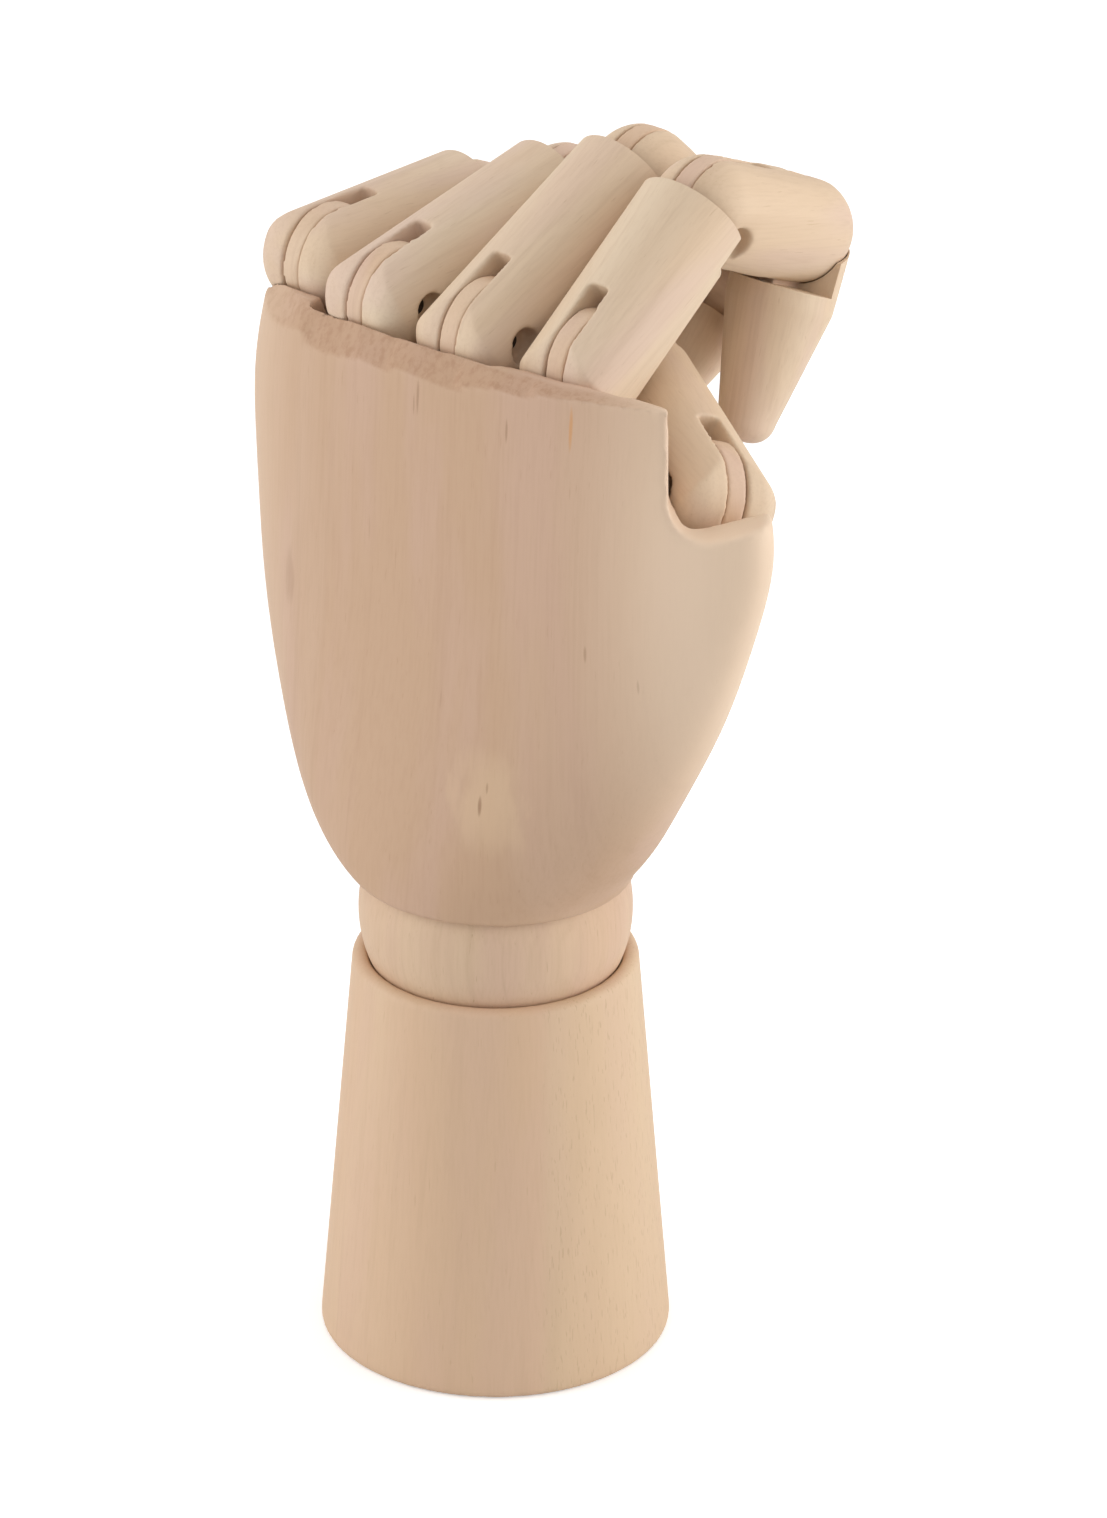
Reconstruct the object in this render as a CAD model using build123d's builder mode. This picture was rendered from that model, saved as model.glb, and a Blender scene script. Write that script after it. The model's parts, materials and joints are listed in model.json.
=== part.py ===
from build123d import *
import os
from math import cos, radians, sin, sqrt, tan

# A jointed left hand of turned and carved wood on a tapered foot, closed to a loose fist.
# Origin: centre of the foot's underside. +Z up, the back of the hand faces -Y, the thumb lies
# towards +X and the fingers curl towards +Y. Lengths in millimetres, angles in degrees.

# Foot
foot_height = 60.7
foot_bottom_radius = 26.0
foot_top_radius = 20.9
foot_edge_radius = 0.8
rim_rise = 0.5
rim_width = 1.2

# Wrist ball and its sockets
ball_radius = 20.0
ball_height = 68.2
ball_half_length = 15.6
socket_gap = 0.15
ball_bore_radius = 4.4
ball_mouth_radius = 9.0

# Spring and its fixings
well_radius = 5.6
spring_radius = 3.0
spring_wire = 0.8
shank_radius = 2.0
shank_gap = 0.1
recess_radius = 9.0
recess_depth = 30.0
plug_thickness = 6.0
web_thickness = 10.0
eye_ring_radius = 2.6
eye_wire_radius = 0.8
eye_stand = 1.0
washer_radius = 6.5
washer_thickness = 1.2
nut_width = 7.0
nut_thickness = 3.2
thread_tail = 2.0
palm_well_depth = 9.0
wood_thread_depth = 12.0

# Palm
palm_bottom = 74.5
palm_top = 161.0
lip_height = 158.4
lip_slope = 3.2
palm_half_width = 48.3
palm_half_thickness = 20.6
palm_centre_x = 3.8
knuckle_height = 158.3

# Each section: share of the height, of the half width, of the half thickness, of the centre's x
palm_section_shares = (
    (0.0, 0.427, 1.0, 0.0),
    (0.036, 0.517, 0.995, -0.709),
    (0.09, 0.612, 0.965, -0.897),
    (0.186, 0.721, 0.895, -0.834),
    (0.306, 0.824, 0.81, -0.562),
    (0.45, 0.916, 0.735, -0.112),
    (0.618, 0.985, 0.685, 0.402),
    (0.78, 1.01, 0.655, 0.647),
    (1.0, 0.985, 0.64, 0.677),
)

# Rods, forks and tongues
rod_radius = 8.17
middle_radius = 7.95
base_corner_radius = 4.4
base_ease = 0.06
base_overlap = 0.5
tongue_thickness = 3.0
tongue_gap = 0.18
tongue_inset = 0.2
tongue_root = 6.5
seat_root = 6.0
seat_root_width = 7.6
tongue_root_width = 10.0
glue_gap = 0.05
fork_depth = 8.3
seat_gap = 0.28
seat_half_width = 9.75
room_back = 8.2
room_depth = 6.2
room_side = 5.2

# Hinge pins
pin_radius = 1.2
pin_gap = 0.06
bore_radius = 2.7
bore_depth = 3.2

# Ball-and-cup joints between the finger pieces
second_ball_radius = 7.8
second_pin_offset = 3.6
third_ball_radius = 7.75
third_pin_offset = 0.0
cup_gap = 0.18
cup_lip = 0.7
tip_lip_back = 0.2
tip_lip_side = 3.2
cup_floor = 1.2
relief_gap = 0.4
swell_length = 3.0
tongue_trim = 0.3

# Fingertips
tip_radius = 4.3
tip_corner_radius = 3.4

# Knuckle pins of the fingers, and the lengths from pin to pin and to the tip
index_x = 17.0
index_y = 0.9
index_first = 26.7
index_second = 23.6
index_third = 31.7
middle_x = -1.4
middle_y = -0.8
middle_first = 32.0
middle_second = 26.2
middle_third = 30.0
ring_x = -19.8
ring_y = -0.3
ring_first = 31.4
ring_second = 24.6
ring_third = 27.9
little_x = -36.8
little_y = 4.2
little_first = 25.4
little_second = 23.7
little_third = 24.3

# Thumb
thumb_x = 34.2
thumb_y = 7.0
thumb_height = 141.4
thumb_first = 26.0
thumb_second = 21.0
thumb_axis = Vector(0.337, 0.894, -0.300)
thumb_straight = Vector(-0.142, 0.363, 0.922)
thumb_bends = (60.0, 4.0)
thumb_opening = 115.0
thumb_room = 12.0
notch_turn = 45.0
notch_across = 22.9
notch_floor = 140.6
notch_slope = 15.0
notch_corner = 4.6

# One overrun serves every cut
overrun = 40.0

FINGERS = {
    "index": (index_x, index_y, 3.1, (55.5, 58.4, 90.0), (index_first, index_second, index_third)),
    "middle": (middle_x, middle_y, 0.4, (63.0, 73.0, 90.0), (middle_first, middle_second, middle_third)),
    "ring": (ring_x, ring_y, -2.4, (76.3, 74.0, 70.0), (ring_first, ring_second, ring_third)),
    "little": (little_x, little_y, -3.0, (88.0, 68.0, 66.0), (little_first, little_second, little_third)),
}


def bent(frame, angle, origin=None):
    """Turn a frame about its own X, so that its Z leans towards the palm side, +Y."""
    leaning = frame.z_dir * cos(radians(angle)) + frame.y_dir * sin(radians(angle))
    return Plane(origin=origin or frame.origin, x_dir=frame.x_dir, z_dir=leaning)


def moved(frame, along, palmar):
    """Shift a frame along its Z and towards its palm side."""
    return Plane(origin=frame.origin + frame.z_dir * along + frame.y_dir * palmar,
                 x_dir=frame.x_dir, z_dir=frame.z_dir)


def reversed_frame(frame):
    """The same place looked at from the other end, with the palm side kept."""
    return Plane(origin=frame.origin, x_dir=frame.x_dir * -1, z_dir=frame.z_dir * -1)


def side_view(frame):
    """Sketch plane across the pin: x along the piece, y towards its back."""
    return Plane(origin=frame.origin, x_dir=frame.z_dir, z_dir=frame.x_dir)


def back_view(frame):
    """Sketch plane seen from the back of the piece: x along the pin, y along the piece."""
    return Plane(origin=frame.origin, x_dir=frame.x_dir, z_dir=frame.y_dir * -1)


def at(frame, across, palmar, along):
    return frame.from_local_coords(Vector(across, palmar, along))


def cut_pin_holes(frame, bore_side, half_width):
    """Blind pin hole through both cheeks, and the counterbore on one side."""
    outer = Plane(origin=at(frame, bore_side * half_width, 0, 0), x_dir=frame.z_dir,
                  z_dir=frame.x_dir * -bore_side)
    with BuildSketch(outer) as hole:
        Circle(pin_radius)
    extrude(hole.sketch, amount=2 * half_width - bore_depth, mode=Mode.SUBTRACT)
    with BuildSketch(outer) as counterbore:
        Circle(bore_radius)
    extrude(counterbore.sketch, amount=bore_depth, mode=Mode.SUBTRACT)


def cut_slot(frame, reach, depth):
    """Saw cut for the tongue, from beyond the end up to the depth past the pin."""
    with BuildSketch(side_view(frame)) as saw_cut:
        with Locations(((depth - reach) / 2, 0)):
            Rectangle(depth + reach, 2 * overrun)
    extrude(saw_cut.sketch, amount=tongue_thickness / 2 + tongue_gap, both=True, mode=Mode.SUBTRACT)


def cut_cup(frame, ball, offset, other_radius):
    """Cup at the end of a piece that lies on the frame's -Z side, its pin at the origin."""
    with Locations(at(frame, 0, -offset, 0)):
        Sphere(ball + cup_gap, mode=Mode.SUBTRACT)
    relief = other_radius - offset + relief_gap
    with BuildSketch(side_view(frame)) as open_side:
        with Locations((-relief, cup_floor)):
            Rectangle(overrun, overrun, align=(Align.MIN, Align.MAX))
    extrude(open_side.sketch, amount=overrun, both=True, mode=Mode.SUBTRACT)
    with BuildSketch(side_view(frame)) as mortise:
        with Locations((-ball - tongue_root + offset, offset)):
            Rectangle(overrun, tongue_root_width, align=(Align.MIN, Align.CENTER))
    extrude(mortise.sketch, amount=tongue_thickness / 2 + glue_gap, both=True, mode=Mode.SUBTRACT)


def cup_tongue(name, frame, ball, offset, rest_bend):
    """Tongue glued into a cup, its disc flush with the ball at rest."""
    disc_along = offset * sin(radians(rest_bend))
    disc_back = offset * cos(radians(rest_bend))
    with BuildPart() as tongue:
        with BuildSketch(side_view(frame)):
            with Locations((disc_along, disc_back)):
                Circle(ball - tongue_inset)
            with Locations((-ball - tongue_root + offset, offset)):
                Rectangle(ball + tongue_root, tongue_root_width, align=(Align.MIN, Align.CENTER))
            with Locations((0, offset - ball + tongue_trim)):
                Rectangle(2 * overrun, overrun, align=(Align.CENTER, Align.MAX), mode=Mode.SUBTRACT)
            Circle(pin_radius + pin_gap, mode=Mode.SUBTRACT)
        extrude(amount=tongue_thickness / 2, both=True)
    save(name, tongue.part)


def hinge_pin(name, frame, bore_side, half_width):
    """Steel pin from the counterbore's floor to the far cheek's face."""
    start = Plane(origin=at(frame, bore_side * (half_width - bore_depth), 0, 0), x_dir=frame.z_dir,
                  z_dir=frame.x_dir * -bore_side)
    with BuildPart() as pin:
        with BuildSketch(start):
            Circle(pin_radius)
        extrude(amount=2 * half_width - 2 * bore_depth)
    save(name, pin.part)


def seat_tongue(name, frame):
    """Tongue glued into the palm, its disc flush with the rounded base of the finger."""
    disc = rod_radius - tongue_inset
    with BuildPart() as tongue:
        with BuildSketch(side_view(frame)):
            Circle(disc)
            Rectangle(disc + seat_root, seat_root_width, align=(Align.MAX, Align.CENTER))
            Circle(pin_radius + pin_gap, mode=Mode.SUBTRACT)
        extrude(amount=tongue_thickness / 2, both=True)
    save(name, tongue.part)


def proximal_piece(name, frame, length, bore_side, other_radius):
    """First piece: forked round base on the knuckle pin, cup at the far end."""
    reach = length + cup_lip
    round_radius = rod_radius - base_ease
    with BuildPart() as piece:
        # A disc about the pin with rounded rims, which opens into the rod above it
        with BuildSketch(back_view(frame)):
            Rectangle(2 * (rod_radius + base_ease), round_radius, align=(Align.CENTER, Align.MIN))
            rims = vertices().group_by(Axis.Y)[-1]
            fillet(rims, base_corner_radius)
        revolve(axis=Axis(frame.origin, frame.x_dir))
        with BuildSketch(side_view(frame)):
            with BuildLine():
                Polyline((-base_overlap, base_ease - round_radius), (-base_overlap, round_radius - base_ease),
                         (reach, overrun), (reach, -overrun), close=True)
            make_face()
        extrude(amount=overrun, both=True)
        with BuildSketch(Plane(origin=at(frame, 0, 0, -rod_radius), x_dir=frame.x_dir, z_dir=frame.z_dir)):
            Circle(rod_radius)
        extrude(amount=rod_radius + reach, mode=Mode.INTERSECT)
        cut_slot(frame, rod_radius, fork_depth)
        cut_pin_holes(frame, bore_side, rod_radius)
        cut_cup(moved(frame, length, second_pin_offset), second_ball_radius, second_pin_offset, other_radius)
    save(name, piece.part)


def ball_line(ball, radius, length, far_ball):
    """Half outline of a piece with ball ends, with x outwards and y along the piece."""
    RadiusArc((0, -ball), (ball, 0), -ball)
    Line((ball, 0), (radius, swell_length))
    Line((radius, swell_length), (radius, length - swell_length))
    Line((radius, length - swell_length), (far_ball, length))
    RadiusArc((far_ball, length), (0, length + far_ball), -far_ball)
    Line((0, length + far_ball), (0, -ball))


def middle_piece(name, frame, length, bore_side, near_bend, far_bend):
    """Second piece: forked balls at both ends, with the pins below its centre line."""
    centre = moved(frame, 0, -second_pin_offset)
    far_pin = moved(centre, length, third_pin_offset)
    near_depth = second_ball_radius + second_pin_offset * sin(radians(near_bend))
    far_depth = third_ball_radius + third_pin_offset * sin(radians(far_bend))
    with BuildPart() as piece:
        with BuildSketch(back_view(centre)):
            with BuildLine():
                ball_line(second_ball_radius, middle_radius, length, third_ball_radius)
            make_face()
        revolve(axis=Axis(centre.origin, centre.z_dir))
        cut_slot(frame, overrun, near_depth)
        cut_slot(reversed_frame(far_pin), overrun, far_depth)
        cut_pin_holes(frame, bore_side, middle_radius)
        cut_pin_holes(far_pin, -bore_side, middle_radius)
    save(name, piece.part)


def tip_line(radius, start, length):
    """Straight taper with a rounded end, from the start to the tip on the axis."""
    side_end = length - tip_corner_radius
    flat = tip_radius - tip_corner_radius
    Line((radius, start), (tip_radius, side_end))
    RadiusArc((tip_radius, side_end), (flat, length), -tip_corner_radius)
    Line((flat, length), (0, length))


def distal_piece(name, frame, length):
    """Last piece: cup at the pin with its lip higher at the back, then a taper to the fingertip."""
    centre = moved(frame, 0, -third_pin_offset)
    with BuildPart() as piece:
        with BuildSketch(back_view(centre)):
            with BuildLine():
                tip_start = tip_lip_side + third_ball_radius
                Line((0, tip_lip_back), (middle_radius, tip_lip_back))
                Line((middle_radius, tip_lip_back), (middle_radius, tip_start))
                tip_line(middle_radius, tip_start, length)
                Line((0, length), (0, tip_lip_back))
            make_face()
        revolve(axis=Axis(centre.origin, centre.z_dir))
        with BuildSketch(side_view(frame)):
            with BuildLine():
                Polyline((tip_lip_back, middle_radius), (tip_lip_side, cup_floor), (-overrun, cup_floor),
                         (-overrun, middle_radius), close=True)
            make_face()
        extrude(amount=overrun, both=True, mode=Mode.SUBTRACT)
        cut_cup(reversed_frame(frame), third_ball_radius, third_pin_offset, middle_radius)
    save(name, piece.part)


def thumb_tip_piece(name, frame, length, bore_side):
    """Last piece of the thumb: forked ball at the pin, then a taper to the tip."""
    centre = moved(frame, 0, -second_pin_offset)
    with BuildPart() as piece:
        with BuildSketch(back_view(centre)):
            with BuildLine():
                RadiusArc((0, -second_ball_radius), (second_ball_radius, 0), -second_ball_radius)
                Line((second_ball_radius, 0), (middle_radius, swell_length))
                tip_line(middle_radius, swell_length, length)
                Line((0, length), (0, -second_ball_radius))
            make_face()
        revolve(axis=Axis(centre.origin, centre.z_dir))
        cut_slot(frame, overrun, second_pin_offset + second_ball_radius)
        cut_pin_holes(frame, bore_side, middle_radius)
    save(name, piece.part)


def save(name, solid):
    solid.label = name
    export_step(solid, "parts/" + name + ".step")


os.makedirs("parts", exist_ok=True)

# Foot: a tapered cone with a socket for the ball, a well for the spring and a recess below
socket_radius = ball_radius + socket_gap
rim_inner_radius = foot_top_radius - rim_width
socket_mouth = sqrt(socket_radius**2 - (ball_height - foot_height - rim_rise) ** 2)
web_top = recess_depth + web_thickness
with BuildPart() as foot:
    with BuildSketch(Plane.XZ):
        with BuildLine():
            Line((0, 0), (foot_bottom_radius, 0))
            Line((foot_bottom_radius, 0), (foot_top_radius, foot_height))
            Line((foot_top_radius, foot_height), (rim_inner_radius, foot_height + rim_rise))
            Line((rim_inner_radius, foot_height + rim_rise), (0, foot_height + rim_rise))
            Line((0, foot_height + rim_rise), (0, 0))
        make_face()
        bottom_corner = vertices().sort_by(Axis.X)[-1]
        fillet(bottom_corner, foot_edge_radius)
    revolve(axis=Axis.Z)
    with Locations((0, 0, ball_height)):
        Sphere(socket_radius, mode=Mode.SUBTRACT)
    with BuildSketch(Plane.XY.offset(web_top)):
        Circle(well_radius)
    extrude(amount=ball_height - web_top - ball_half_length, mode=Mode.SUBTRACT)
    with BuildSketch(Plane.XY):
        Circle(recess_radius)
    extrude(amount=recess_depth, mode=Mode.SUBTRACT)
    with BuildSketch(Plane.XY):
        Circle(shank_radius + shank_gap)
    extrude(amount=web_top + shank_radius, mode=Mode.SUBTRACT)
save("base_cone", foot.part)

# Plug that closes the recess, flush with the underside
with BuildPart() as plug:
    with BuildSketch(Plane.XY):
        Circle(recess_radius - glue_gap)
    extrude(amount=plug_thickness)
save("base_plug", plug.part)

# Washer under the web
with BuildPart() as washer:
    with BuildSketch(Plane.XY.offset(recess_depth - washer_thickness)):
        Circle(washer_radius)
        Circle(shank_radius + shank_gap, mode=Mode.SUBTRACT)
    extrude(amount=washer_thickness)
save("base_washer", washer.part)

# Nut on the swivel bolt, just under the washer
nut_top = recess_depth - washer_thickness
with BuildPart() as nut:
    with BuildSketch(Plane.XY.offset(nut_top - nut_thickness)):
        RegularPolygon(nut_width / 2, 6, major_radius=False)
        Circle(shank_radius, mode=Mode.SUBTRACT)
    extrude(amount=nut_thickness)
save("swivel_nut", nut.part)

# Swivel bolt: a shank with a ring eye that the spring hooks into
bolt_foot = nut_top - nut_thickness - thread_tail
bolt_eye = web_top + eye_stand + eye_ring_radius
with BuildPart() as bolt:
    with BuildSketch(Plane.XY.offset(bolt_foot)):
        Circle(shank_radius)
    extrude(amount=bolt_eye - eye_ring_radius - bolt_foot)
    with BuildSketch(Plane.XY.offset(bolt_eye)):
        with Locations((eye_ring_radius, 0)):
            Circle(eye_wire_radius)
    revolve(axis=Axis((0, 0, bolt_eye), (0, 1, 0)))
save("swivel_bolt", bolt.part)

# Wrist ball with a bore that flares so that the spring can lean
with BuildPart() as ball:
    with Locations((0, 0, ball_height)):
        Sphere(ball_radius)
        Box(2 * ball_radius, 2 * ball_radius, 2 * ball_half_length, mode=Mode.INTERSECT)
    with BuildSketch(Plane.XZ):
        with BuildLine():
            mouth_low = ball_height - ball_half_length
            mouth_high = ball_height + ball_half_length
            Line((0, mouth_low), (ball_mouth_radius, mouth_low))
            Line((ball_mouth_radius, mouth_low), (ball_bore_radius, ball_height))
            Line((ball_bore_radius, ball_height), (ball_mouth_radius, mouth_high))
            Line((ball_mouth_radius, mouth_high), (0, mouth_high))
            Line((0, mouth_high), (0, mouth_low))
        make_face()
    revolve(axis=Axis.Z, mode=Mode.SUBTRACT)
save("wrist_ball", ball.part)

# Screw eye in the roof of the palm's well
well_top = ball_height + socket_radius + palm_well_depth
palm_eye = well_top - eye_stand - eye_ring_radius
with BuildPart() as screw_eye:
    with BuildSketch(Plane.XY.offset(palm_eye + eye_ring_radius)):
        Circle(shank_radius)
    extrude(amount=eye_stand + wood_thread_depth)
    with BuildSketch(Plane.XY.offset(palm_eye)):
        with Locations((eye_ring_radius, 0)):
            Circle(eye_wire_radius)
    revolve(axis=Axis((0, 0, palm_eye), (0, 1, 0)))
save("palm_screw_eye", screw_eye.part)

# Tie spring: a close-wound coil as a tube, with a hook loop through each eye
hook_radius = eye_ring_radius
spring_low = bolt_eye + hook_radius + eye_wire_radius
spring_high = palm_eye - hook_radius - eye_wire_radius
with BuildPart() as spring:
    with BuildSketch(Plane.XY.offset(spring_low)):
        Circle(spring_radius)
        Circle(spring_radius - spring_wire, mode=Mode.SUBTRACT)
    extrude(amount=spring_high - spring_low)
    for centre_z in (bolt_eye + hook_radius, palm_eye - hook_radius):
        with BuildSketch(Plane.XY.offset(centre_z)):
            with Locations((0, hook_radius)):
                Circle(spring_wire / 2)
        revolve(axis=Axis((0, 0, centre_z), (1, 0, 0)))
save("tie_spring", spring.part)

# Frames of the fingers, from the knuckle outwards
frames = {}
for finger, (x, y, spread, bends, lengths) in FINGERS.items():
    across = Vector(cos(radians(spread)), sin(radians(spread)), 0)
    seat = Plane(origin=(x, y, knuckle_height), x_dir=across, z_dir=(0, 0, 1))
    first = bent(seat, bends[0])
    pivot = moved(first, lengths[0], second_pin_offset)
    second = bent(pivot, bends[1])
    pivot = moved(second, lengths[1], third_pin_offset - second_pin_offset)
    third = bent(pivot, bends[2])
    frames[finger] = (seat, first, second, third)

thumb_seat = Plane(origin=(thumb_x, thumb_y, thumb_height), x_dir=thumb_axis, z_dir=thumb_straight)
thumb_base = bent(thumb_seat, thumb_bends[0])
thumb_pivot = moved(thumb_base, thumb_first, second_pin_offset)
thumb_tip = bent(thumb_pivot, thumb_bends[1])

# Palm: lofted block with a knuckle seat across its top, a thumb saddle and a socket below
palm_height = palm_top - palm_bottom
with BuildPart() as palm:
    for level, wide, thick, centre in palm_section_shares:
        with BuildSketch(Plane.XY.offset(palm_bottom + level * palm_height)):
            with Locations((centre * palm_centre_x, 0)):
                Ellipse(wide * palm_half_width, thick * palm_half_thickness)
    loft()
    with Locations((0, 0, ball_height)):
        Sphere(socket_radius, mode=Mode.SUBTRACT)
    with BuildSketch(Plane.XY.offset(ball_height + ball_half_length)):
        Circle(well_radius)
    extrude(amount=well_top - ball_height - ball_half_length, mode=Mode.SUBTRACT)
    with BuildSketch(Plane.XY.offset(well_top)):
        Circle(shank_radius)
    extrude(amount=wood_thread_depth, mode=Mode.SUBTRACT)
    for chain in frames.values():
        with BuildSketch(side_view(chain[0])):
            Circle(rod_radius + seat_gap)
            with Locations((-rod_radius - seat_gap, 0)):
                Rectangle(overrun, overrun, align=(Align.MIN, Align.MAX))
            Rectangle(overrun, rod_radius + seat_gap, align=(Align.MIN, Align.MIN))
        extrude(amount=seat_half_width, both=True, mode=Mode.SUBTRACT)
    # Wood beside the index finger taken away behind the rim
    with BuildSketch(side_view(frames["index"][0])):
        with BuildLine():
            Polyline((overrun, room_back), (0, room_back), (-room_depth, room_side), (-room_depth, -overrun),
                     (overrun, -overrun), close=True)
        make_face()
    extrude(amount=overrun, mode=Mode.SUBTRACT)
    # Top cut at a slope, higher towards the thumb
    slope = radians(lip_slope)
    with BuildSketch(Plane(origin=(0, 0, lip_height), x_dir=(cos(slope), 0, sin(slope)),
                           z_dir=(-sin(slope), 0, cos(slope)))):
        Rectangle(4 * overrun, 4 * overrun)
    extrude(amount=overrun, mode=Mode.SUBTRACT)
    # Saddle for the thumb: everything in front of its inner cheek and above its folded side
    cheek = Plane(origin=at(thumb_base, -rod_radius - seat_gap, 0, 0), x_dir=thumb_base.z_dir,
                  z_dir=thumb_base.x_dir)
    with BuildSketch(cheek):
        Circle(rod_radius + seat_gap)
        with Locations(Location((0, 0), -thumb_room)):
            with Locations((0, -rod_radius - seat_gap)):
                Rectangle(overrun, overrun, align=(Align.MIN, Align.MIN))
        with Locations(Location((0, 0), thumb_opening)):
            with Locations((0, rod_radius + seat_gap)):
                Rectangle(overrun, overrun, align=(Align.MIN, Align.MAX))
    extrude(amount=overrun, mode=Mode.SUBTRACT)
    # Notch beside the index finger, sawn in from the corner between the back and the thumb side
    corner_view = Plane(origin=(0, 0, 0), x_dir=(cos(radians(notch_turn)), sin(radians(notch_turn)), 0),
                        z_dir=(sin(radians(notch_turn)), -cos(radians(notch_turn)), 0))
    notch_rise = overrun * tan(radians(notch_slope))
    with BuildSketch(corner_view):
        with BuildLine():
            FilletPolyline((notch_across, notch_floor + overrun), (notch_across, notch_floor),
                           (notch_across + overrun, notch_floor + notch_rise), radius=notch_corner)
            Line((notch_across + overrun, notch_floor + notch_rise),
                 (notch_across + overrun, notch_floor + overrun))
            Line((notch_across + overrun, notch_floor + overrun), (notch_across, notch_floor + overrun))
        make_face()
    extrude(amount=2 * overrun, both=True, mode=Mode.SUBTRACT)
    # Mortises for the tongues
    for seat in [chain[0] for chain in frames.values()] + [thumb_seat]:
        with BuildSketch(side_view(seat)):
            Rectangle(rod_radius - tongue_inset + seat_root, seat_root_width,
                      align=(Align.MAX, Align.CENTER))
        extrude(amount=tongue_thickness / 2 + glue_gap, both=True, mode=Mode.SUBTRACT)
save("palm_block", palm.part)

# Fingers: three pieces, three tongues and three pins each
for finger, (seat, first, second, third) in frames.items():
    lengths = FINGERS[finger][4]
    bends = FINGERS[finger][3]
    knuckle_side = -1 if finger == "index" else 1
    seat_tongue(finger + "_knuckle_tongue", seat)
    hinge_pin(finger + "_knuckle_pin", first, knuckle_side, rod_radius)
    proximal_piece(finger + "_proximal", first, lengths[0], knuckle_side, middle_radius)
    pivot = moved(first, lengths[0], second_pin_offset)
    cup_tongue(finger + "_middle_tongue", pivot, second_ball_radius, second_pin_offset, bends[1])
    hinge_pin(finger + "_middle_pin", second, 1, middle_radius)
    middle_piece(finger + "_middle", second, lengths[1], 1, bends[1], bends[2])
    distal_cup = reversed_frame(third)
    cup_tongue(finger + "_end_tongue", distal_cup, third_ball_radius, third_pin_offset, bends[2])
    hinge_pin(finger + "_end_pin", third, -1, middle_radius)
    distal_piece(finger + "_distal", third, lengths[2])

# Thumb: two pieces, two tongues and two pins
seat_tongue("thumb_knuckle_tongue", thumb_seat)
hinge_pin("thumb_knuckle_pin", thumb_base, -1, rod_radius)
proximal_piece("thumb_proximal", thumb_base, thumb_first, -1, middle_radius)
cup_tongue("thumb_end_tongue", thumb_pivot, second_ball_radius, second_pin_offset, thumb_bends[1])
hinge_pin("thumb_end_pin", thumb_tip, 1, middle_radius)
thumb_tip_piece("thumb_distal", thumb_tip, thumb_second, 1)
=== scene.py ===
import json
from math import cos, radians, sin, sqrt

import bmesh
import bpy
from mathutils import Matrix, Vector

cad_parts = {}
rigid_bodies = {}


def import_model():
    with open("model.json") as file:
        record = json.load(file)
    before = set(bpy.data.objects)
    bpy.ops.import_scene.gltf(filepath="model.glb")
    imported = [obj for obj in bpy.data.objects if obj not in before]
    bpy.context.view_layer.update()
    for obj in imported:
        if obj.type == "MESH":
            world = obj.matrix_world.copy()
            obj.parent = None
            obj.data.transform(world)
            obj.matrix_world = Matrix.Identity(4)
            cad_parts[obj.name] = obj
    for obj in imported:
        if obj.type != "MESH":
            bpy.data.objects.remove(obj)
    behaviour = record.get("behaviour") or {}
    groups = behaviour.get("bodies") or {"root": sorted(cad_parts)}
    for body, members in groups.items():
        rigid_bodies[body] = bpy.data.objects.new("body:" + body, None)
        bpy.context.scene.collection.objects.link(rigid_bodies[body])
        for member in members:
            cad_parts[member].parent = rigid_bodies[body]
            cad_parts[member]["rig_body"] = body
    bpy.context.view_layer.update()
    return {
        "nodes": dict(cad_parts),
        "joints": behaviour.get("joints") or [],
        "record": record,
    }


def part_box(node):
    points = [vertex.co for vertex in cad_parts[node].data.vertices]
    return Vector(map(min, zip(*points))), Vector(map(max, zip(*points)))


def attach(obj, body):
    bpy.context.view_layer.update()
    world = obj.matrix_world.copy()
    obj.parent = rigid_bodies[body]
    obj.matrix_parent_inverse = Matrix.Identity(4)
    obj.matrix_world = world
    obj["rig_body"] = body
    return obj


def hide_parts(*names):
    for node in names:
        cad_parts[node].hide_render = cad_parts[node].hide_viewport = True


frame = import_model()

MM = 0.001

# Viewpoint: above and behind the hand, towards the thumb side
image_height = 1518
view_azimuth = radians(43.0)
view_elevation = radians(25.89)
view_roll = radians(0.222)
view_distance = 1200 * MM
view_scale = 6.928
aim_sideways = 8.33 * MM
aim_height = 91.72 * MM
sensor_size = 36.0
camera_reach = 20

# Softened edges: size of the rebuilt mesh's cells, and the rounds of smoothing
merge_distance = 0.002 * MM
cell_sizes = {"palm_block": 0.6 * MM, "base_cone": 0.5 * MM, "base_plug": 0.5 * MM, "wrist_ball": 0.45 * MM}
finger_cell = 0.34 * MM
tongue_cell = 0.3 * MM
wood_rounds = 6
tongue_rounds = 3

# The thin lips of the cups keep the frame's own mesh, up to these distances from the pin
far_lip_start = 5.0 * MM
near_lip_end = 9.5 * MM
lip_overlap = 0.3 * MM
crease_angle = radians(35)

# Each tongue sits against one cheek of its fork, which leaves the saw cut open on the other side
tongue_lean = 0.13 * MM

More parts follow.
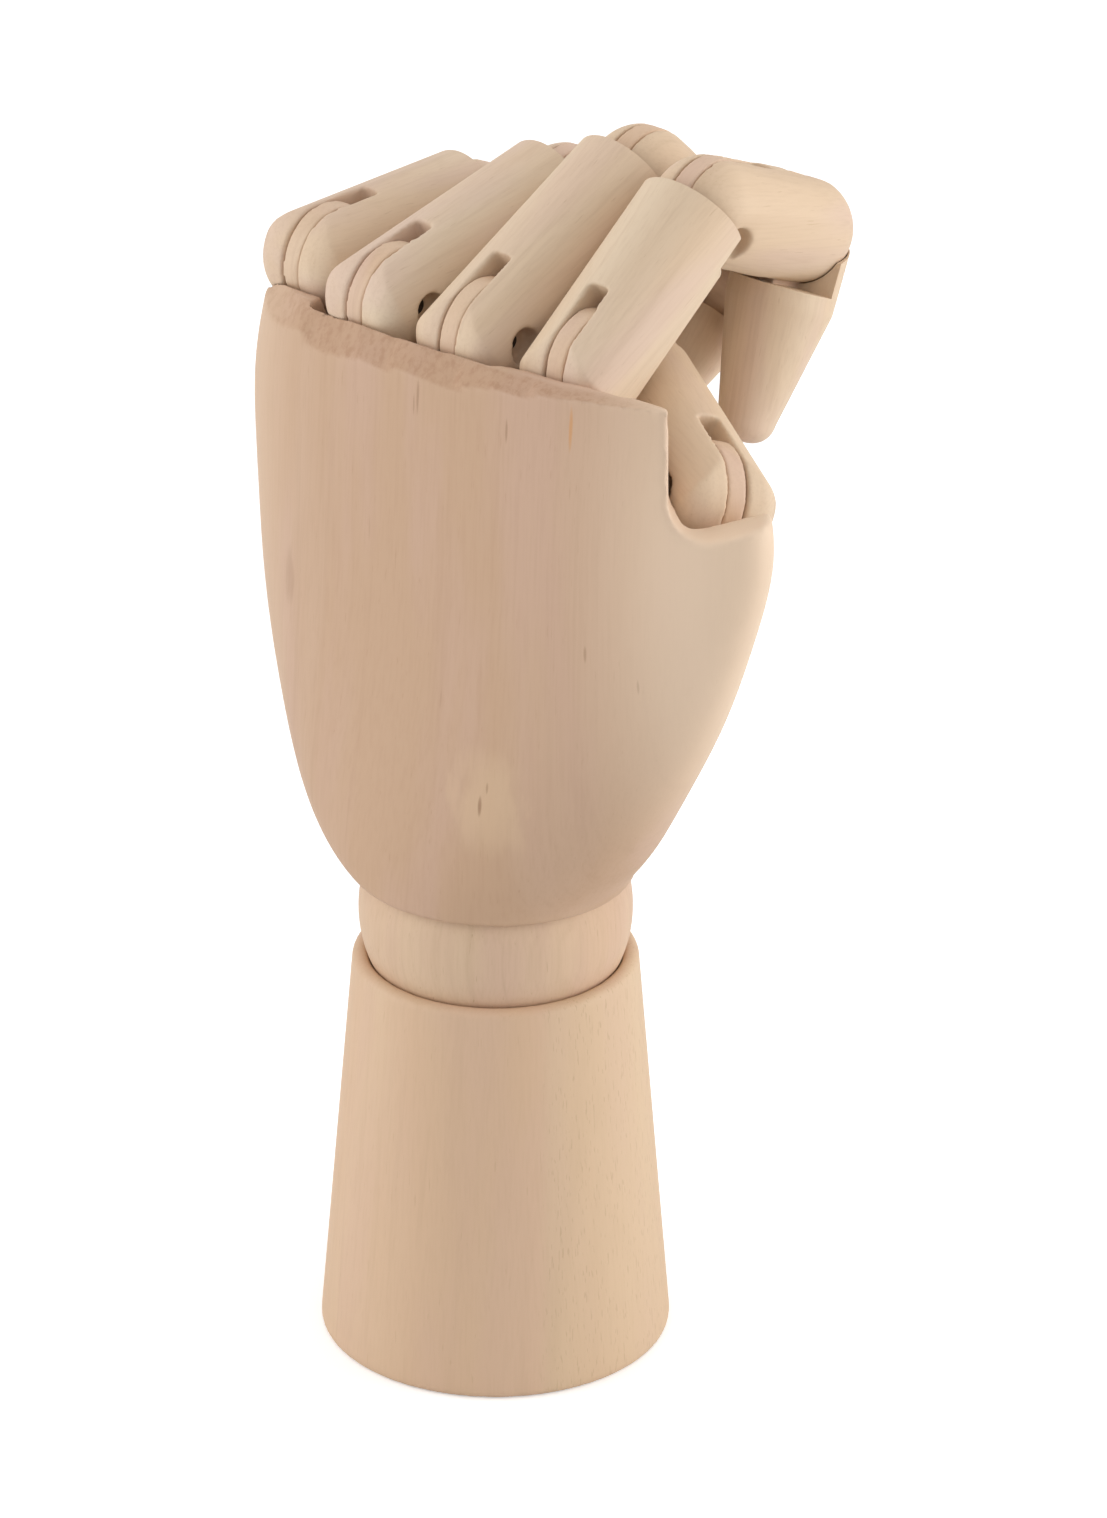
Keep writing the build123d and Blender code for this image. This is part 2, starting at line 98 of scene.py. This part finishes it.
# Palm's top edge, in millimetres, and the knife cuts along it: place across the hand, half width,
# how far the cut reaches down the back, and its twist
rim_centre = 2.57
rim_half_width = 47.6
rim_half_thickness = 13.2
rim_height = 158.4
rim_slope = 0.056
rim_depth = 3.1
knife_fade = 2.4
knife_reach = 9.0
knife_cuts = (
    (-41.0, 5.0, 4.4, 0.05), (-35.0, 5.0, 5.2, -0.07), (-28.5, 5.5, 4.4, 0.09), (-21.5, 5.5, 5.4, -0.06),
    (-15.0, 5.0, 4.2, 0.08), (-8.5, 5.5, 3.9, -0.05), (-1.5, 5.0, 4.2, 0.06), (5.0, 5.0, 3.2, -0.06),
    (11.5, 5.5, 2.3, 0.05), (18.5, 5.5, 1.5, -0.04), (25.5, 5.5, 0.9, 0.03), (32.0, 4.5, 0.6, -0.03),
)

# Lamps: name, degrees turned from the camera's side, degrees above the level, size and watts
lamp_distance = 0.9
lamps = (
    ("right_lamp", 86, 8, 0.8, 6.4), ("left_lamp", -88, 18, 0.8, 4.3),
    ("front_lamp", 0, 45, 0.7, 0.9), ("top_lamp", 160, 70, 0.8, 1.6),
)

# Floor and surround
floor_half = 6.0
floor_grey = 0.9
floor_roughness = 0.9
floor_glow = 0.35
surround_fill = 0.5

# Marks in the wood, and the painted light on the palm's sides
knife_brown = (0.42, 0.245, 0.15)
foot_yellow = (0.68, 0.505, 0.325)
foot_pink = (0.72, 0.50, 0.325)
foot_fleck = (0.33, 0.19, 0.09)
streak_brown = (0.33, 0.19, 0.11)
resin_orange = (0.60, 0.30, 0.12)
halo_yellow = (0.72, 0.53, 0.34)
# painted light: a paler colour on the palm's sides, standing in for the side lamps' light
painted_side_light = (0.84, 0.66, 0.49)
palm_streaks = (
    (-30.6, 114.9, 1.6, 5.5, streak_brown, 0.28), (-2.8, 151.8, 0.35, 3.2, streak_brown, 0.6),
    (-3.6, 150.5, 0.2, 2.0, streak_brown, 0.5), (13.9, 151.5, 0.3, 2.2, streak_brown, 0.6),
    (24.8, 154.6, 0.35, 4.0, resin_orange, 0.75), (28.2, 121.4, 0.3, 1.6, streak_brown, 0.45),
    (13.0, 94.5, 7.5, 9.5, halo_yellow, 0.34), (12.2, 94.0, 0.4, 1.9, streak_brown, 0.8),
    (13.2, 97.0, 0.25, 1.1, streak_brown, 0.5), (36.0, 118.0, 0.25, 1.4, streak_brown, 0.3),
    (-12.0, 129.0, 0.2, 2.4, streak_brown, 0.22), (4.0, 108.0, 0.2, 2.0, streak_brown, 0.22),
)

# Where the painted light on the palm's sides starts and is full, in millimetres from its middle: a paler
# colour painted where the side lamps fall, more on the right
painted_light_right = (24.0, 46.0)
painted_light_left = (26.0, 44.0)

# Where the foot's two tones meet, in millimetres towards the camera's right
foot_tone_edge = (5.9, 8.6)

# How strongly a knife cut shows for each millimetre of its depth
knife_show = 4.0

# How far each finger's wood leans to the warm tone
finger_tones = {"index": 0.15, "middle": 0.7, "ring": 0.0, "little": 0.3, "thumb": 0.3}

FINGERS = ("index", "middle", "ring", "little")
FIXINGS = ("base_washer", "swivel_bolt", "swivel_nut", "tie_spring", "palm_screw_eye")
STEEL_NODES = [name for name in frame["nodes"] if name.endswith("_pin") or name in FIXINGS]


class Signal:
    """A socket in a shader tree. Sums and products of signals add the Math nodes that make them."""

    def __init__(self, tree, socket=None):
        self.tree = tree
        self.socket = socket

    def add(self, kind, settings=None, sockets=None, output=0):
        """Add a node: its settings first, then values or signals for its sockets."""
        node = self.tree.nodes.new(kind)
        for name, value in (settings or {}).items():
            if name == "stops":
                while len(node.color_ramp.elements) < len(value):
                    node.color_ramp.elements.new(1.0)
                for element, (place, colour) in zip(node.color_ramp.elements, value):
                    element.position = place
                    element.color = (*colour, 1.0)
            else:
                setattr(node, name, value)
        for name, value in (sockets or {}).items():
            if isinstance(value, Signal):
                self.tree.links.new(value.socket, node.inputs[name])
            else:
                node.inputs[name].default_value = value
        return Signal(self.tree, node.outputs[output])

    def math(self, operation, *values):
        return self.add("ShaderNodeMath", {"operation": operation}, dict(enumerate(values)))

    def __add__(self, other):
        return self.math("ADD", self, other)

    def __sub__(self, other):
        return self.math("SUBTRACT", self, other)

    def __rsub__(self, other):
        return self.math("SUBTRACT", other, self)

    def __mul__(self, other):
        return self.math("MULTIPLY", self, other)

    def __truediv__(self, other):
        return self.math("DIVIDE", self, other)

    __radd__ = __add__
    __rmul__ = __mul__

    def smooth(self, low, high):
        """0 below low, 1 above high, and a soft step between them."""
        return self.add("ShaderNodeMapRange", {"interpolation_type": "SMOOTHSTEP"},
                        {"Value": self, "From Min": low, "From Max": high})

    def noise(self, stretch, detail=2.0, shift=(0.0, 0.0, 0.0), roughness=0.5, distortion=0.0):
        """Noise over this vector, with its own scale along each axis."""
        place = self.add("ShaderNodeMapping", {}, {"Vector": self, "Location": shift, "Scale": stretch})
        return self.add("ShaderNodeTexNoise", {}, {"Vector": place, "Scale": 1.0, "Detail": detail,
                                                   "Roughness": roughness, "Distortion": distortion})

    def blend(self, low, high, mode="MIX"):
        """Colour that goes from low to high as this mask goes from 0 to 1."""
        return self.add("ShaderNodeMix", {"data_type": "RGBA", "blend_type": mode},
                        {0: self, 6: low, 7: high}, output=2)


def rgba(colour):
    return (*colour, 1.0)


def new_finish(name):
    """A material with its tree, its shader node and a first signal."""
    finish = bpy.data.materials.new(name)
    finish.use_nodes = True
    shader = finish.node_tree.nodes["Principled BSDF"]
    return finish, shader, Signal(finish.node_tree)


def plug(signal, shader, socket):
    signal.tree.links.new(signal.socket, shader.inputs[socket])


def wood_finish(name, pale, warm, pink, dark, fleck_amount, marks=()):
    """Sanded bare wood, its fibres along the third axis of the piece's own grain coordinates."""
    finish, shader, start = new_finish(name)
    grain = start.add("ShaderNodeAttribute", {"attribute_name": "grain"}, output=1)
    tone = start.add("ShaderNodeAttribute", {"attribute_name": "tone"}, output=2)
    knife = start.add("ShaderNodeAttribute", {"attribute_name": "knife"}, output=2)
    broad = grain.noise((0.05, 0.05, 0.008), detail=3.0, distortion=0.4)
    hue = grain.noise((0.09, 0.09, 0.018), detail=2.0, shift=(31.0, 7.0, 3.0))
    rings = grain.noise((0.55, 0.16, 0.012), detail=3.0, shift=(5.0, 11.0, 2.0), distortion=0.6)
    fibres = grain.noise((2.2, 2.2, 0.07), detail=4.0, shift=(1.0, 2.0, 3.0), roughness=0.6)
    pores = grain.noise((3.1, 3.1, 0.22), detail=1.0, shift=(8.0, 4.0, 9.0))
    torn = grain.noise((0.9, 0.9, 0.5), detail=3.0, shift=(4.0, 1.0, 6.0), roughness=0.65)
    colour = broad.smooth(0.36, 0.64).blend(rgba(pale), rgba(warm))
    colour = (hue.smooth(0.44, 0.66) * 0.75).blend(colour, rgba(pink))
    colour = (tone * 0.6).blend(colour, rgba(warm))
    colour = (rings.smooth(0.5, 0.78) * 0.17).blend(colour, rgba(dark))
    colour = (fibres.smooth(0.42, 0.7) * 0.11).blend(colour, rgba(dark))
    colour = (pores.smooth(0.7, 0.8) * fleck_amount).blend(colour, rgba(dark))
    colour = (knife * (0.38 + torn.smooth(0.42, 0.7) * 0.45)).blend(colour, rgba(knife_brown))
    for make_mark in marks:
        colour = make_mark(start, colour)
    plug(colour, shader, "Base Color")
    plug(0.5 + fibres * 0.12 + pores.smooth(0.66, 0.8) * 0.1 + knife * 0.15, shader, "Roughness")
    shader.inputs["Specular IOR Level"].default_value = 0.32
    relief = fibres * 0.6 + pores.smooth(0.64, 0.82) * -0.5 + broad * 1.5 + knife * torn * 4.0
    bump = start.add("ShaderNodeBump", {}, {"Height": relief, "Strength": 0.25, "Distance": 0.05 * MM})
    plug(bump, shader, "Normal")
    return finish


def in_millimetres(start):
    """The place on a piece at rest, as three signals."""
    place = start.add("ShaderNodeTexCoord", {}, output=3)
    split = [start.add("ShaderNodeSeparateXYZ", {}, {"Vector": place}, output=axis) for axis in range(3)]
    return [axis / MM for axis in split]


def palm_marks(start, colour):
    """Painted light on the palm's sides, mineral streaks, a resin streak below the index finger and a
    knot's halo on the back of the palm.
    """
    across, thick, height = in_millimetres(start)
    place = start.add("ShaderNodeTexCoord", {}, output=3)
    wander = place.noise((500.0, 500.0, 160.0), detail=3.0) - 0.5
    front = (0.0 - thick).smooth(-1.0, 2.0)
    # Painted light: the palm's sides paler, more on the right, where the lamps fall
    colour = (across.smooth(*painted_light_right) * 0.75).blend(colour, rgba(painted_side_light))
    colour = ((0.0 - across).smooth(*painted_light_left) * 0.3).blend(colour, rgba(painted_side_light))
    for x, z, half_width, half_height, tint, strength in palm_streaks:
        side = (across + wander * (half_width * 1.6) - x) / half_width
        along = (height - z) / half_height
        mask = (1.0 - (side * side + along * along).smooth(0.0, 1.0)) * strength * front
        colour = mask.blend(colour, rgba(tint))
    return colour


def foot_marks(start, colour):
    """The foot's two tones, parted by a plane along the fibres, and fine dark flecks in the paler one."""
    across, thick = in_millimetres(start)[:2]
    place = start.add("ShaderNodeTexCoord", {}, output=3)
    side = across * cos(view_azimuth) + thick * sin(view_azimuth)
    yellow = side.smooth(*foot_tone_edge)
    colour = (yellow * 0.5).blend(colour, rgba(foot_yellow))
    colour = ((1.0 - yellow) * 0.35).blend(colour, rgba(foot_pink))
    flecks = place.noise((3400.0, 3400.0, 420.0), detail=1.0, shift=(3.0, 9.0, 1.0)).smooth(0.63, 0.7)
    return (flecks * yellow * 0.22).blend(colour, rgba(foot_fleck))


def steel_finish():
    """Dull darkened steel of the pins and the hidden fixings."""
    finish, shader, start = new_finish("dull_steel")
    place = start.add("ShaderNodeTexCoord", {}, output=3)
    cloud = place.noise((600.0, 600.0, 600.0), detail=3.0)
    scratches = place.noise((2400.0, 2400.0, 500.0), detail=2.0)
    colour = cloud.blend(rgba((0.03, 0.026, 0.022)), rgba((0.09, 0.08, 0.07)))
    plug(colour, shader, "Base Color")
    plug(0.34 + cloud * 0.25, shader, "Roughness")
    shader.inputs["Metallic"].default_value = 0.9
    bump = start.add("ShaderNodeBump", {}, {"Height": scratches, "Strength": 0.2, "Distance": 0.03 * MM})
    plug(bump, shader, "Normal")
    return finish


def wood_colours():
    """One finish for each wood of the object."""
    palm = wood_finish("palm_pink_tan", (0.58, 0.40, 0.28), (0.545, 0.36, 0.235), (0.57, 0.38, 0.28),
                       (0.40, 0.235, 0.145), 0.25, (palm_marks,))
    finger = wood_finish("finger_cream", (0.72, 0.575, 0.42), (0.69, 0.515, 0.355), (0.68, 0.505, 0.40),
                         (0.42, 0.26, 0.15), 0.25)
    turned = wood_finish("turned_cream", (0.67, 0.49, 0.335), (0.64, 0.44, 0.295), (0.64, 0.44, 0.325),
                         (0.40, 0.25, 0.14), 0.4)
    tongue = wood_finish("tongue_cream", (0.70, 0.53, 0.38), (0.67, 0.47, 0.32), (0.67, 0.47, 0.36),
                         (0.42, 0.26, 0.15), 0.3)
    foot = wood_finish("foot_cream", (0.67, 0.49, 0.335), (0.64, 0.44, 0.295), (0.64, 0.44, 0.325),
                       (0.40, 0.25, 0.14), 0.3, (foot_marks,))
    return {"foot_wood": foot, "palm_wood": palm, "finger_wood": finger, "turned_wood": turned,
            "tongue_wood": tongue}


def hinge_places():
    """Where each hinge is, and which way its pin points, by the name of the joint."""
    return {joint["name"]: (Vector(joint["pos_m"]), Vector(joint["axis"])) for joint in frame["joints"]}


def grain_frame(origin, fibre, across):
    """Rows that turn a place into grain coordinates, with the third along the fibres."""
    fibre = fibre.normalized()
    across = (across - across.dot(fibre) * fibre).normalized()
    third = fibre.cross(across)
    turn = Matrix((across, third, fibre))
    return origin, turn


def centre_of(node):
    low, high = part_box(node)
    return (low + high) / 2


def fibre_frames():
    """The grain frame of each wooden node."""
    hinges = hinge_places()
    upright = grain_frame(Vector((0, 0, 0)), Vector((0, 0, 1)), Vector((1, 0, 0)))
    frames = {name: upright for name in ("base_cone", "base_plug", "wrist_ball", "palm_block")}
    for finger in FINGERS:
        knuckle, pin = hinges[finger + "_knuckle"]
        middle = hinges[finger + "_middle_joint"][0]
        end = hinges[finger + "_end_joint"][0]
        tip = centre_of(finger + "_distal")
        first = grain_frame(knuckle, middle - knuckle, pin)
        second = grain_frame(middle, end - middle, pin)
        third = grain_frame(end, tip - end, pin)
        frames[finger + "_proximal"] = first
        frames[finger + "_middle"] = second
        frames[finger + "_distal"] = third
        frames[finger + "_knuckle_tongue"] = grain_frame(knuckle, Vector((0, 0, 1)), pin)
        frames[finger + "_middle_tongue"] = first
        frames[finger + "_end_tongue"] = third
    knuckle, pin = hinges["thumb_knuckle"]
    end = hinges["thumb_end_joint"][0]
    first = grain_frame(knuckle, end - knuckle, pin)
    second = grain_frame(end, centre_of("thumb_distal") - end, pin)
    frames["thumb_proximal"] = first
    frames["thumb_distal"] = second
    frames["thumb_knuckle_tongue"] = grain_frame(knuckle, Vector((0, 0, 1)), pin)
    frames["thumb_end_tongue"] = second
    return frames


def add_grain(mesh, place, shift, tone):
    """Store grain coordinates in millimetres at each point, shifted so that no two pieces look alike."""
    origin, turn = place
    layer = mesh.attributes.new("grain", "FLOAT_VECTOR", "POINT")
    values = []
    for vertex in mesh.vertices:
        values.extend(turn @ (vertex.co - origin) / MM + shift)
    layer.data.foreach_set("vector", values)
    layer = mesh.attributes.new("tone", "FLOAT", "POINT")
    layer.data.foreach_set("value", [tone] * len(mesh.vertices))


def merged(node):
    """A copy of a node's mesh with the points of neighbouring faces joined."""
    mesh = frame["nodes"][node].data.copy()
    work = bmesh.new()
    work.from_mesh(mesh)
    bmesh.ops.remove_doubles(work, verts=work.verts, dist=merge_distance)
    for face in work.faces:
        face.smooth = True
    for edge in work.edges:
        edge.smooth = edge.calc_face_angle(0.0) < crease_angle
    work.to_mesh(mesh)
    work.free()
    return mesh


def rebuilt(mesh, cell, rounds):
    """The same form in small even cells, with its sharp edges eased, as sandpaper leaves them."""
    carrier = bpy.data.objects.new("carrier", mesh)
    bpy.context.scene.collection.objects.link(carrier)
    rebuild = carrier.modifiers.new("rebuild", "REMESH")
    rebuild.mode = "VOXEL"
    rebuild.voxel_size = cell
    rebuild.use_smooth_shade = True
    ease = carrier.modifiers.new("ease", "SMOOTH")
    ease.factor = 0.5
    ease.iterations = rounds
    graph = bpy.context.evaluated_depsgraph_get()
    result = bpy.data.meshes.new_from_object(carrier.evaluated_get(graph), depsgraph=graph)
    bpy.data.objects.remove(carrier)
    return result


def joined_at(soft, crisp, place, away):
    """The soft mesh before a plane and the crisp one past it, as one mesh."""
    work = bmesh.new()
    work.from_mesh(soft)
    everything = work.verts[:] + work.edges[:] + work.faces[:]
    bmesh.ops.bisect_plane(work, geom=everything, plane_co=place, plane_no=away, clear_outer=True)
    lip = bmesh.new()
    lip.from_mesh(crisp)
    everything = lip.verts[:] + lip.edges[:] + lip.faces[:]
    bmesh.ops.bisect_plane(lip, geom=everything, plane_co=place - away * lip_overlap, plane_no=away,
                           clear_inner=True)
    lip.to_mesh(crisp)
    lip.free()
    work.from_mesh(crisp)
    result = bpy.data.meshes.new("joined")
    work.to_mesh(result)
    work.free()
    return result


def lip_planes():
    """For each piece with a cup, a place on its axis and the way to the cup's lip."""
    hinges = hinge_places()
    planes = {}
    for finger in FINGERS:
        knuckle = hinges[finger + "_knuckle"][0]
        middle = hinges[finger + "_middle_joint"][0]
        end = hinges[finger + "_end_joint"][0]
        away = (middle - knuckle).normalized()
        planes[finger + "_proximal"] = (middle - away * far_lip_start, away)
        away = (end - centre_of(finger + "_distal")).normalized()
        planes[finger + "_distal"] = (end - away * near_lip_end, away)
    knuckle, end = hinges["thumb_knuckle"][0], hinges["thumb_end_joint"][0]
    away = (end - knuckle).normalized()
    planes["thumb_proximal"] = (end - away * far_lip_start, away)
    return planes


def softened(node, cell, rounds, planes):
    """A rebuilt copy of a node's mesh, with the frame's own mesh at the thin lip of a cup."""
    crisp = merged(node)
    soft = rebuilt(crisp, cell, rounds)
    if node in planes:
        return joined_at(soft, crisp, *planes[node])
    return soft


def cut_rim(mesh):
    """Whittle the rim of the palm's back with flat knife cuts, and store how much each point was cut."""
    depths = [0.0] * len(mesh.vertices)
    for place, half_width, reach, twist in knife_cuts:
        bulge = rim_half_thickness * sqrt(1.0 - ((place - rim_centre) / rim_half_width) ** 2)
        top = rim_height + rim_slope * place
        low = Vector((place, -bulge, top - reach)) * MM
        high = Vector((place, rim_depth - bulge, top)) * MM
        tangent = (rim_half_thickness / rim_half_width) ** 2 * (place - rim_centre) / bulge
        normal = Vector((1.0, tangent + twist, rim_slope)).cross(high - low).normalized()
        if normal.z < 0:
            normal.negate()
        for index, vertex in enumerate(mesh.vertices):
            outside = abs(vertex.co.x / MM - place) - half_width
            if outside > knife_fade or vertex.co.z / MM < top - knife_reach or vertex.co.y > 0:
                continue
            depth = (vertex.co - low).dot(normal)
            if depth > 0:
                depth *= min(1.0, 1.0 - outside / knife_fade)
                vertex.co -= normal * depth
                depths[index] += depth / MM
    layer = mesh.attributes.new("knife", "FLOAT", "POINT")
    layer.data.foreach_set("value", [min(1.0, depth * knife_show) for depth in depths])


def dress(node, cell, rounds, planes, finish, place, shift, tone):
    """Stand an eased and grained copy in for a node, on the node's own body."""
    mesh = softened(node, cell, rounds, planes)
    mesh.materials.clear()
    mesh.materials.append(finish)
    if node == "palm_block":
        cut_rim(mesh)
    if node.endswith("_tongue"):
        lean = -tongue_lean if node.startswith("thumb") else tongue_lean
        across = place[1][0]
        mesh.transform(Matrix.Translation(across * (lean if across.x > 0 else -lean)))
    add_grain(mesh, place, shift, tone)
    piece = bpy.data.objects.new(node + "_wood", mesh)
    bpy.context.scene.collection.objects.link(piece)
    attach(piece, frame["nodes"][node]["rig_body"])
    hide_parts(node)


def set_camera():
    """Camera at the photograph's height, side, distance and framing."""
    back = Vector((sin(view_azimuth) * cos(view_elevation), -cos(view_azimuth) * cos(view_elevation),
                   sin(view_elevation)))
    right = Vector((cos(view_azimuth), sin(view_azimuth), 0))
    up = back.cross(right)
    camera = bpy.data.objects.new("camera", bpy.data.cameras.new("camera"))
    bpy.context.scene.collection.objects.link(camera)
    aim = right * aim_sideways + Vector((0, 0, aim_height))
    turn = Matrix((right, up, back)).transposed() @ Matrix.Rotation(view_roll, 3, "Z")
    camera.matrix_world = Matrix.Translation(aim + back * view_distance) @ turn.to_4x4()
    camera.data.sensor_width = sensor_size
    camera.data.lens = sensor_size * view_scale * view_distance / MM / image_height
    camera.data.clip_end = camera_reach
    bpy.context.scene.camera = camera


def soft_lamp(name, turn, elevation, size, power):
    """Square lamp that faces the middle of the hand, turned about it from the camera's side."""
    azimuth = view_azimuth + radians(turn)
    elevation = radians(elevation)
    away = Vector((sin(azimuth) * cos(elevation), -cos(azimuth) * cos(elevation), sin(elevation)))
    lamp = bpy.data.objects.new(name, bpy.data.lights.new(name, "AREA"))
    bpy.context.scene.collection.objects.link(lamp)
    lamp.data.size = size
    lamp.data.energy = power
    lamp.location = away * lamp_distance + Vector((0, 0, aim_height))
    lamp.rotation_euler = away.to_track_quat("Z", "Y").to_euler()


def set_light():
    """The lamps, and a surround that looks white but gives only part of that light."""
    for lamp in lamps:
        soft_lamp(*lamp)
    world = bpy.data.worlds.new("surround")
    bpy.context.scene.world = world
    world.use_nodes = True
    tree = world.node_tree
    start = Signal(tree)
    seen = start.add("ShaderNodeLightPath", {}, {}, output="Is Camera Ray")
    glossy = start.add("ShaderNodeLightPath", {}, {}, output="Is Glossy Ray")
    through = start.add("ShaderNodeLightPath", {}, {}, output="Is Transmission Ray")
    white = start.math("MINIMUM", seen + glossy + through, 1.0)
    strength = surround_fill + white * (1.0 - surround_fill)
    tree.links.new(strength.socket, tree.nodes["Background"].inputs["Strength"])
    tree.nodes["Background"].inputs["Color"].default_value = (1, 1, 1, 1)


def set_floor():
    """White floor that keeps the foot's soft shadow."""
    mesh = bpy.data.meshes.new("floor")
    corners = [(-floor_half, -floor_half, 0), (floor_half, -floor_half, 0), (floor_half, floor_half, 0),
               (-floor_half, floor_half, 0)]
    mesh.from_pydata(corners, [], [(0, 1, 2, 3)])
    floor = bpy.data.objects.new("floor", mesh)
    bpy.context.scene.collection.objects.link(floor)
    finish, shader, start = new_finish("floor_white")
    seen = start.add("ShaderNodeLightPath", {}, {}, output="Is Camera Ray")
    shader.inputs["Base Color"].default_value = (floor_grey, floor_grey, floor_grey, 1)
    shader.inputs["Roughness"].default_value = floor_roughness
    shader.inputs["Specular IOR Level"].default_value = 0.0
    shader.inputs["Emission Color"].default_value = (1, 1, 1, 1)
    plug(seen * floor_glow, shader, "Emission Strength")
    mesh.materials.append(finish)


def dress_wood():
    """Every wooden node gets its eased copy, its finish and its own stretch of grain."""
    finishes = wood_colours()
    planes = lip_planes()
    slots = {part["node"]: part["material_slot"] for part in frame["record"]["subparts"]}
    for number, (node, place) in enumerate(fibre_frames().items()):
        slot = slots[node]
        cell = tongue_cell if slot == "tongue_wood" else cell_sizes.get(node, finger_cell)
        rounds = tongue_rounds if slot == "tongue_wood" else wood_rounds
        shift = Vector((37.0 * number, 23.0 * number, 61.0 * number))
        tone = finger_tones.get(node.split("_")[0], 0.3)
        finish = finishes["foot_wood"] if node == "base_cone" else finishes[slot]
        dress(node, cell, rounds, planes, finish, place, shift, tone)


def dress_steel():
    finish = steel_finish()
    for node in STEEL_NODES:
        for slot in frame["nodes"][node].material_slots:
            slot.material = finish


bpy.context.scene.view_settings.view_transform = "Standard"
set_camera()
set_light()
set_floor()
dress_wood()
dress_steel()

bpy.context.view_layer.update()
